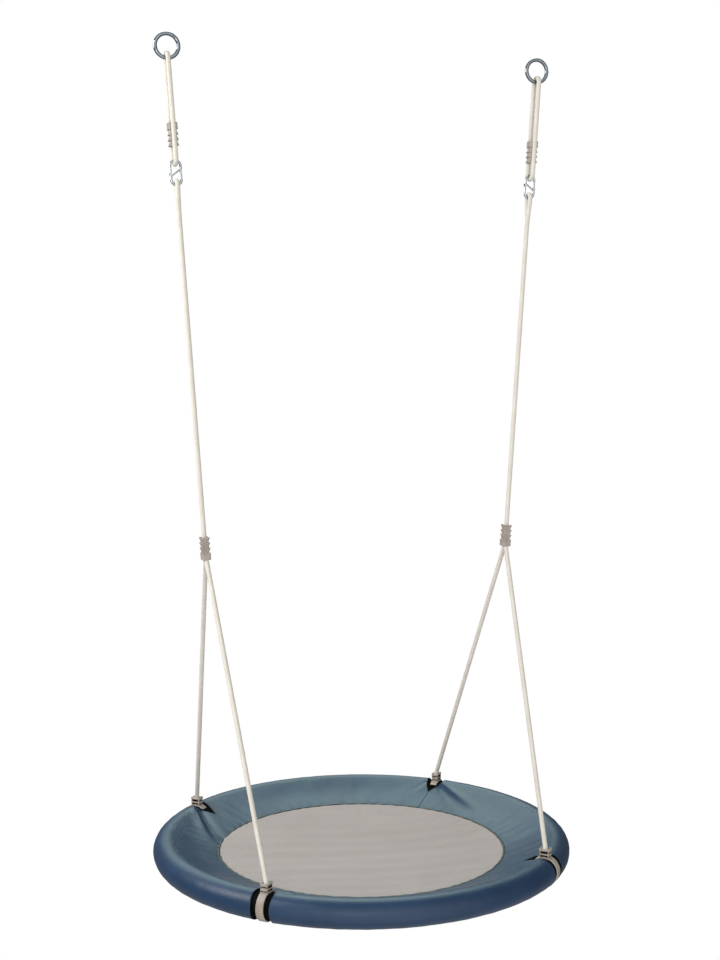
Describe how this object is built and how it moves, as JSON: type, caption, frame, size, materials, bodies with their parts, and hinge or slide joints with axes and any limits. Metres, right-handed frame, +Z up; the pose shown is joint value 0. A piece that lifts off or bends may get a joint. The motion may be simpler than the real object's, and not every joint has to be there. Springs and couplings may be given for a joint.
{
  "type": "saucer nest swing",
  "caption": "Round nest swing seat with a padded, fabric-covered steel rim and a mesh panel, hung by forked ropes, clamps and links from two rings.",
  "frame": {"origin": "midway between the two hanging rings, at the height where hooks bear on them", "axes": "+X from the left ring to the right ring, +Y away from the viewer, +Z up"},
  "size_m": [0.8998, 0.8998, 1.7382],
  "materials": {
    "zinc_ring": "zinc-plated, semi-bright",
    "chrome_link": "bright",
    "cream_rope": "braided, matt",
    "taupe_plastic": "satin moulded",
    "steel_fixings": "zinc-plated",
    "frame_steel": "galvanised",
    "black_foam": "closed-cell foam",
    "blue_cover": "coated woven cloth, slight sheen",
    "taupe_mesh": "fine woven mesh"
  },
  "bodies": {
    "hangers": {"ring_left": "zinc_ring", "ring_right": "zinc_ring"},
    "sling_left": {"sling_rope_left": "cream_rope", "loop_adjuster_left": "taupe_plastic"},
    "line_left": {"s_link_left": "chrome_link", "gate_pins_left": "steel_fixings", "line_rope_left": "cream_rope"},
    "upper_gate_left": {"upper_gate_left": "chrome_link"},
    "lower_gate_left": {"lower_gate_left": "chrome_link"},
    "clamp_left": {"leg_clamp_left": "taupe_plastic"},
    "sling_right": {"sling_rope_right": "cream_rope", "loop_adjuster_right": "taupe_plastic"},
    "line_right": {"s_link_right": "chrome_link", "gate_pins_right": "steel_fixings", "line_rope_right": "cream_rope"},
    "upper_gate_right": {"upper_gate_right": "chrome_link"},
    "lower_gate_right": {"lower_gate_right": "chrome_link"},
    "clamp_right": {"leg_clamp_right": "taupe_plastic"},
    "seat": {"leg_rope_front_left": "cream_rope", "leg_rope_front_right": "cream_rope", "leg_rope_back_left": "cream_rope", "leg_rope_back_right": "cream_rope", "clip_block_front_left": "taupe_plastic", "clip_block_front_right": "taupe_plastic", "clip_block_back_left": "taupe_plastic", "clip_block_back_right": "taupe_plastic", "clip_strap_front_left": "taupe_plastic", "clip_strap_front_right": "taupe_plastic", "clip_strap_back_left": "taupe_plastic", "clip_strap_back_right": "taupe_plastic", "leg_ferrules": "steel_fixings", "clip_screws": "steel_fixings", "frame_tube_front_left": "frame_steel", "frame_tube_front_right": "frame_steel", "frame_tube_back_left": "frame_steel", "frame_tube_back_right": "frame_steel", "frame_joiners": "frame_steel", "joiner_screws": "steel_fixings", "foam_sleeve_front_left": "black_foam", "foam_sleeve_front_right": "black_foam", "foam_sleeve_back_left": "black_foam", "foam_sleeve_back_right": "black_foam", "cover_panel_front": "blue_cover", "cover_panel_right": "blue_cover", "cover_panel_back": "blue_cover", "cover_panel_left": "blue_cover", "seat_mesh": "taupe_mesh"}
  },
  "joints": [
    {"name": "swing", "type": "hinge", "parent": "hangers", "child": "sling_left", "pos_m": [-0.41, 0, -0.044], "axis": [1, 0, 0], "range_deg": [-45, 45]},
    {"name": "swing_right", "type": "hinge", "parent": "hangers", "child": "sling_right", "pos_m": [0.41, 0, -0.044], "axis": [1, 0, 0], "range_deg": [-45, 45]},
    {"name": "sway", "type": "hinge", "parent": "sling_left", "child": "line_left", "pos_m": [-0.39548, 0, -0.257], "axis": [0, 1, 0], "range_deg": [-6, 6]},
    {"name": "sway_right", "type": "hinge", "parent": "sling_right", "child": "line_right", "pos_m": [0.39548, 0, -0.257], "axis": [0, 1, 0], "range_deg": [-6, 6]},
    {"name": "level_left", "type": "hinge", "parent": "line_left", "child": "clamp_left", "pos_m": [-0.34352, 0, -1.01909], "axis": [0, 1, 0], "range_deg": [-7, 7]},
    {"name": "level_right", "type": "hinge", "parent": "line_right", "child": "clamp_right", "pos_m": [0.34352, 0, -1.01909], "axis": [0, 1, 0], "range_deg": [-7, 7]},
    {"name": "seat_tilt", "type": "hinge", "parent": "clamp_left", "child": "seat", "pos_m": [-0.341, 0, -1.056], "axis": [1, 0, 0], "range_deg": [-15, 15]},
    {"name": "upper_gate_left_open", "type": "hinge", "parent": "line_left", "child": "upper_gate_left", "pos_m": [-0.40484, 0, -0.27398], "axis": [0, 1, 0], "range_deg": [0, 12], "stiffness_Nm_per_rad": 0.05, "springref_deg": -11.46},
    {"name": "lower_gate_left_open", "type": "hinge", "parent": "line_left", "child": "lower_gate_left", "pos_m": [-0.38421, 0, -0.26796], "axis": [0, 1, 0], "range_deg": [0, 12], "stiffness_Nm_per_rad": 0.05, "springref_deg": -11.46},
    {"name": "upper_gate_right_open", "type": "hinge", "parent": "line_right", "child": "upper_gate_right", "pos_m": [0.40484, 0, -0.27398], "axis": [0, -1, 0], "range_deg": [0, 12], "stiffness_Nm_per_rad": 0.05, "springref_deg": -11.46},
    {"name": "lower_gate_right_open", "type": "hinge", "parent": "line_right", "child": "lower_gate_right", "pos_m": [0.38421, 0, -0.26796], "axis": [0, -1, 0], "range_deg": [0, 12], "stiffness_Nm_per_rad": 0.05, "springref_deg": -11.46}
  ],
  "couplings": [
    {"joint": "swing_right", "follows": "swing", "ratio": 1},
    {"joint": "sway_right", "follows": "sway", "ratio": 1},
    {"joint": "level_left", "follows": "sway", "ratio": -1.1513},
    {"joint": "level_right", "follows": "sway", "ratio": -1.1513}
  ]
}
